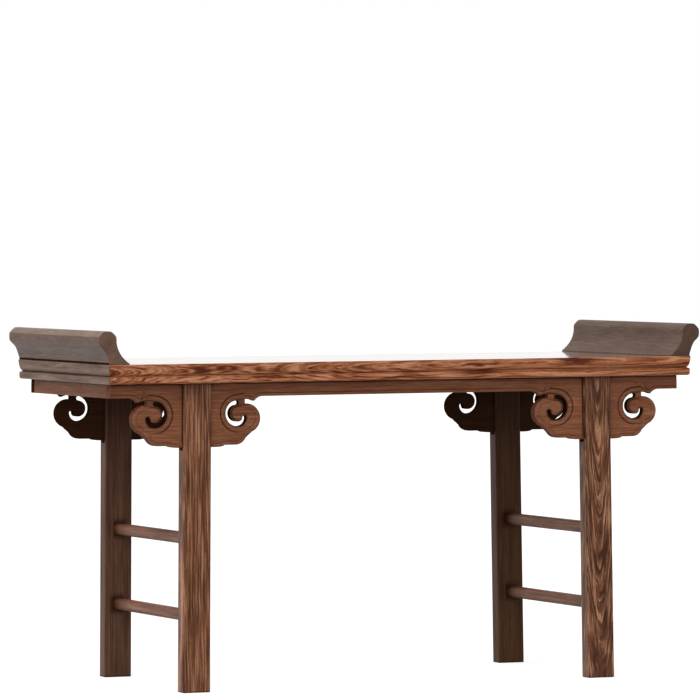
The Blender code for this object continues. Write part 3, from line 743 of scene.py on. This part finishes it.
def carve(points, kinds, seams, turns):
    # height and painted shade of each point of the carved face
    fades = {kind: np.ones(len(points)) for kind in kinds}
    fades["slot"] = grooveFade(points, turns)
    cuts = {}
    for kind, edges in kinds.items():
        cuts[kind] = np.array([beadHeight(gap / bead[kind], bead[kind], grooveFall[kind] * fade)
                               for gap, fade in zip(distances(points, edges), fades[kind])])
    cuts["seam"] = np.array([seamHeight(gap / bead["seam"], bead["seam"])
                             for gap in distances(points, seams)])
    heights = np.min(list(cuts.values()), axis=0)
    paintedShades = np.max([-cut * paintedShadeShare[kind] for kind, cut in cuts.items()], axis=0).clip(0, 1)
    tied = onBridge(points, turns)
    heights[tied] = -bead["bridgeFall"]
    # the sunken bridge gets a little painted shade
    paintedShades[tied] = bead["bridgeShade"]
    return heights, paintedShades


def addCap(bm, loops, spots, level, heights, paintedShades):
    # fill the loops with triangles through the spots, and give back the corners along each loop
    points = [Vector(p) for loop in loops for p in loop] + [Vector(p) for p in spots]
    rings, first = [], 0
    for loop in loops:
        rings.append(list(range(first, first + len(loop))))
        first += len(loop)
    places, _, triangles, sources, _, owners = delaunay_2d_cdt(points, [], rings, 0, cdtWeld)
    made = {}
    corners = []
    layer = bm.verts.layers.float.get("hollow") or bm.verts.layers.float.new("hollow")
    for place, source in zip(places, sources):
        corners.append(bm.verts.new((place.x * mm, place.y * mm, level + heights[source[0]] * mm)))
        corners[-1][layer] = paintedShades[source[0]]
        made.update({index: corners[-1] for index in source})
    for triangle, owner in zip(triangles, owners):
        if owner == [0]:   # in the board and in none of its slots
            bm.faces.new([corners[i] for i in triangle])
    loose = [corner for corner in corners if not corner.link_faces]
    bmesh.ops.delete(bm, geom=loose, context="VERTS")
    return [(made[a], made[b]) for ring in rings for a, b in loopSides(ring)]


def makeAprons():
    legX = legTopCentre() / mm
    halfEnd = apronHigh.x / mm
    turns = [(sx * legX, way) for sx in sides.values() for way in (-1, 1)]
    board = anticlockwise(apronOutline(halfEnd, legX))
    slots = [anticlockwise([fromSpandrel(p, turn) for p in spandrelSlot()]) for turn in turns]
    loops = [board] + slots
    kinds = carvedEdges(board, slots, turns)
    seams = legSeams()
    spots = ringSpots(loops, kinds) + bridgeSpots(turns) + seamSpots(seams, halfEnd)
    seams.append(((-halfEnd, 0), (halfEnd, 0)))
    # a ring's point stays only where no other edge is nearer
    places = np.array([p for p, gap in spots])
    gaps = distances(places, sum(kinds.values(), []))
    clear = distances(places, [side for loop in loops for side in loopSides(loop)])
    kept = [p for (p, gap), least, room in zip(spots, gaps, clear)
            if least > gap - bead["crowd"] and room > bead["crowd"]]
    points = np.array([tuple(p) for loop in loops for p in loop] + [tuple(p) for p in kept])
    heights, paintedShades = carve(points, kinds, seams, turns)
    flat = [0] * len(points)
    for face, sy in faces.items():
        bm = bmesh.new()
        front = addCap(bm, loops, kept, apronHigh.y - apronLow.y, heights, paintedShades)
        back = addCap(bm, loops, [], 0, flat, flat)
        # the walls between the caps: first round the board, then round its slots
        for i, ((a, b), (c, d)) in enumerate(zip(front, back)):
            bm.faces.new((a, b, d, c)).material_index = 1 if i < len(board) else 2
        # the carved face looks out: local z points to the front or the rear
        stand = Matrix(((1, 0, 0, 0), (0, 0, sy, sy * abs(apronHigh.y)),
                        (0, 1, 0, apronHigh.z), (0, 0, 0, 1)))
        bmesh.ops.transform(bm, matrix=stand, verts=bm.verts)
        surfaces = [face + "Apron", "sawnEdge" if face == "front" else "sawnWallPaintedShade", "sawnWallPaintedShade"]
        addPiece(face + "_apron_carved", bm, surfaces, "apron_wood", face + "_apron")


# end aprons, legs and stretchers: a shade is how far painted shade darkens a hollow or a joint, a fade how
# far it reaches
endApron = {"edge": 0.7, "gap": 0.3}
leg = {"width": 26.4, "edge": 1.4, "splay": 0.011, "slotRelief": 2.5, "slotRoom": 0.3, "footEdge": 0.8,
       "footMark": 1.8, "footShade": 0.8, "jointFade": 6.0, "jointShade": 1.0, "innerShade": 0.8}
stretcher = {"edge": 4.0, "legGap": 0.05, "swell": 0.8, "endFade": 46, "frontShare": 0.3,
             "endShade": {"left": 0.75, "right": 1.0}}
levels = ("upper", "lower")


def legTopCentre():
    low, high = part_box("front_right_leg")
    return high.x - leg["width"] / 2 * mm - leg["splay"] * apronHigh.z


def makeEndAprons():
    for side in sides:
        node = side + "_end_apron"
        low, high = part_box(node)
        halfY = abs(apronHigh.y) - endApron["gap"] * mm
        bm = bmesh.new()
        addBlock(bm, ((high.x + low.x) / 2, 0, (high.z + low.z) / 2),
                 (high.x - low.x, 2 * halfY, high.z - low.z))
        soften(bm, bm.edges[:], endApron["edge"] * mm)
        addPiece(node + "_planed", bm, ["endApron"], "apron_wood", node)


def roundedSection(bm, width, depth, edge):
    flat = bmesh.ops.create_grid(bm, x_segments=1, y_segments=1, size=0.5)["verts"]
    bmesh.ops.scale(bm, vec=(width, depth, 1), verts=flat)
    bmesh.ops.bevel(bm, geom=flat, offset=edge, offset_type="OFFSET", affect="VERTICES", profile=0.5,
                    segments=mesh["sectionSegments"], material=-1)


def shadeLeg(bm, side, inner):
    # painted shade: dark lines under the table's top and at the foot, and a dark rim round each stretcher
    boxes = [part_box(f"{side}_{level}_stretcher") for level in levels]
    fade = leg["jointFade"] * mm
    under, foot = apronHigh.z - bead["seam"] * mm, leg["footMark"] * mm
    cuts = [(under, 2), (foot, 2)]
    for low, high in boxes:
        for axis in (0, 2):
            rims = (low[axis] - fade, low[axis], high[axis], high[axis] + fade)
            cuts += [(spot, axis) for spot in rims]
    for spot, axis in cuts:
        cutAcross(bm, spot, axis)

    def shade(vert):
        place = vert.co
        if place.z > under + bead["seam"] / 2 * mm:
            return 1.0
        if place.z < foot / 2:
            return leg["footShade"]
        if abs(place.y) > inner + touch:
            return 0.0
        if place.z > under - touch:   # painted shade high on the inner face, under the top
            return leg["innerShade"]
        atJoint = any(all(low[i] - touch < place[i] < high[i] + touch for i in (0, 2))
                      for low, high in boxes)
        return leg["jointShade"] if atJoint else 0.0

    markPaintedShade(bm, shade)


def makeLegs():
    floor = apronLow.z - leg["slotRelief"] * mm
    room = leg["slotRoom"] * mm
    near, far = abs(apronHigh.y) - room, abs(apronLow.y) + room
    for side, sx in sides.items():
        for face, sy in faces.items():
            node = f"{face}_{side}_leg"
            low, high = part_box(node)
            middle = (high.y + low.y) / 2
            bm = bmesh.new()
            roundedSection(bm, leg["width"] * mm, high.y - low.y, leg["edge"] * mm)
            # the slot's two walls split the section, and only the cheeks rise beside the board
            for wall in (near, far):
                cutAcross(bm, sy * wall - middle, 1)
            risen = extrudeFaces(bm, bm.faces[:], (0, 0, floor))
            cheeks = [f for f in risen if not near < sy * (f.calc_center_median().y + middle) < far]
            for cheek in cheeks:
                extrudeFaces(bm, [cheek], (0, 0, apronHigh.z - floor))
            bmesh.ops.delete(bm, geom=cheeks, context="FACES_ONLY")   # they would stay inside the leg
            bmesh.ops.recalc_face_normals(bm, faces=bm.faces)
            corners = sharpEdges(bm, mesh["cornerAngle"])
            foot = [e for e in corners if all(v.co.z < touch for v in e.verts)]
            soften(bm, foot, leg["footEdge"] * mm)
            lean = sx * leg["splay"]
            shear = Matrix(((1, 0, -lean, sx * legTopCentre() + lean * apronHigh.z), (0, 1, 0, middle),
                            (0, 0, 1, 0), (0, 0, 0, 1)))
            bmesh.ops.transform(bm, matrix=shear, verts=bm.verts)
            shadeLeg(bm, side, min(abs(low.y), abs(high.y)))
            addPiece(node + "_planed", bm, [f"{face}{side.title()}Leg"], "leg_wood", node)


def shadeStretcher(bm, side, reach):
    # painted shade on the ends beside the legs, darker at the rear
    fade = reach - stretcher["endFade"] * mm
    for spot in (-fade, fade):
        cutAcross(bm, spot, 1)
    rear = stretcher["endShade"][side]
    front = rear * stretcher["frontShare"]

    def shade(vert):
        if abs(vert.co.y) < fade + touch:
            return 0.0
        return rear if vert.co.y > 0 else front

    markPaintedShade(bm, shade)


def makeStretchers():
    reach = abs(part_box("front_left_leg")[1].y) - stretcher["legGap"] * mm
    for side in sides:
        for level in levels:
            node = f"{side}_{level}_stretcher"
            low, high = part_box(node)
            tall = high.z - low.z + stretcher["swell"] * mm
            bm = bmesh.new()
            roundedSection(bm, high.x - low.x, tall, stretcher["edge"] * mm)
            extrudeFaces(bm, bm.faces[:], (0, 0, 2 * reach))
            spot = Matrix.Translation(((high.x + low.x) / 2, reach, (high.z + low.z) / 2))
            bmesh.ops.transform(bm, matrix=spot @ Matrix.Rotation(pi / 2, 4, "X"), verts=bm.verts)
            shadeStretcher(bm, side, reach)
            addPiece(node + "_rounded", bm, ["stretcher"], "stretcher_wood", node)


makeAprons()
print("aprons carved")
makeEndAprons()
makeLegs()
makeStretchers()
print("legs and stretchers set")

for node in ("left_batten", "right_batten"):
    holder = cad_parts[node]
    holder.data.materials.clear()
    holder.data.materials.append(finishes["batten"])
print("battens finished")


# studio: pale floor, white surroundings, a broad key from the front left and a weaker light from behind
studio = {"floorSize": 12000, "floorColour": "A0A0A0", "floorRough": 0.9, "floorLift": 0.79,
          "ambient": 0.42}
lamps = {"key": {"power": 2.95, "angle": 90, "from": (-0.62, -0.75, 0.36)},
         "back": {"power": 1.4, "angle": 90, "from": (-0.50, 0.75, 0.62)}}
white = (1, 1, 1, 1)


def seesBackground(tree):
    rays = addNode(tree, "ShaderNodeLightPath").outputs
    shown = rays["Is Camera Ray"]
    for kind in ("Is Glossy Ray", "Is Transmission Ray"):
        shown = addNode(tree, "ShaderNodeMath", {0: shown, 1: rays[kind]}, operation="MAXIMUM").outputs[0]
    return shown


def makeFloor():
    bm = bmesh.new()
    bmesh.ops.create_grid(bm, x_segments=1, y_segments=1, size=studio["floorSize"] * mm)
    data = bpy.data.meshes.new("floor")
    bm.to_mesh(data)
    bm.free()
    floor = bpy.data.objects.new("floor", data)
    scene.collection.objects.link(floor)
    # matt paper has no sheen, and its lift turns the ground white for the camera and in reflections
    paper = bpy.data.materials.new("matt_white_paper")
    tree = newTree(paper)
    matt = addNode(tree, "ShaderNodeBsdfPrincipled", {
        "Base Color": toLinear(studio["floorColour"]), "Roughness": studio["floorRough"],
        "Specular IOR Level": 0.0})
    lift = addNode(tree, "ShaderNodeMath", {
        0: seesBackground(tree), 1: studio["floorLift"]}, operation="MULTIPLY")
    glow = addNode(tree, "ShaderNodeEmission", {"Color": white, "Strength": lift.outputs[0]})
    both = addNode(tree, "ShaderNodeAddShader", {0: matt.outputs[0], 1: glow.outputs[0]})
    addNode(tree, "ShaderNodeOutputMaterial", {"Surface": both.outputs[0]})
    data.materials.append(paper)


def makeLight():
    world = bpy.data.worlds.new("studio")
    tree = newTree(world)
    shade = [studio["ambient"]] * 3 + [1]
    sky = addNode(tree, "ShaderNodeMix", {
        "Factor": seesBackground(tree), "A": shade, "B": white}, data_type="RGBA")
    backdrop = addNode(tree, "ShaderNodeBackground", {"Color": sky.outputs["Result"], "Strength": 1.0})
    addNode(tree, "ShaderNodeOutputWorld", {"Surface": backdrop.outputs[0]})
    scene.world = world
    for name, source in lamps.items():
        light = bpy.data.lights.new(name, "SUN")
        light.energy = source["power"]
        light.angle = radians(source["angle"])
        lamp = bpy.data.objects.new(name, light)
        lamp.rotation_euler = Vector(source["from"]).to_track_quat("Z", "Y").to_euler()
        lamp.visible_glossy = False   # no glare on the polished top
        scene.collection.objects.link(lamp)


makeFloor()
makeLight()
print("studio lit")


# camera at the photograph's angle, in millimetres and degrees
camera = {"place": (-2157.36, -5293.48, 438.85), "turn": 22.135, "dip": 1.32, "roll": -0.333,
          "focalPixels": 6092.11, "picturePixels": 700, "sensor": 36}


def makeCamera():
    data = bpy.data.cameras.new("camera")
    data.sensor_width = camera["sensor"]
    data.lens = camera["focalPixels"] / camera["picturePixels"] * camera["sensor"]
    turn, dip, roll = (radians(camera[k]) for k in ("turn", "dip", "roll"))
    ahead = Vector((sin(turn) * cos(dip), cos(turn) * cos(dip), -sin(dip)))
    right = Vector((cos(turn), -sin(turn), 0))
    up = right.cross(ahead)
    rolledRight = cos(roll) * right + sin(roll) * up
    rolledUp = cos(roll) * up - sin(roll) * right
    pose = Matrix((rolledRight, rolledUp, -ahead)).transposed().to_4x4()
    pose.translation = Vector(camera["place"]) * mm
    holder = bpy.data.objects.new("camera", data)
    holder.matrix_world = pose
    scene.collection.objects.link(holder)
    scene.camera = holder


makeCamera()
scene.view_settings.view_transform = "Standard"
print("camera placed")
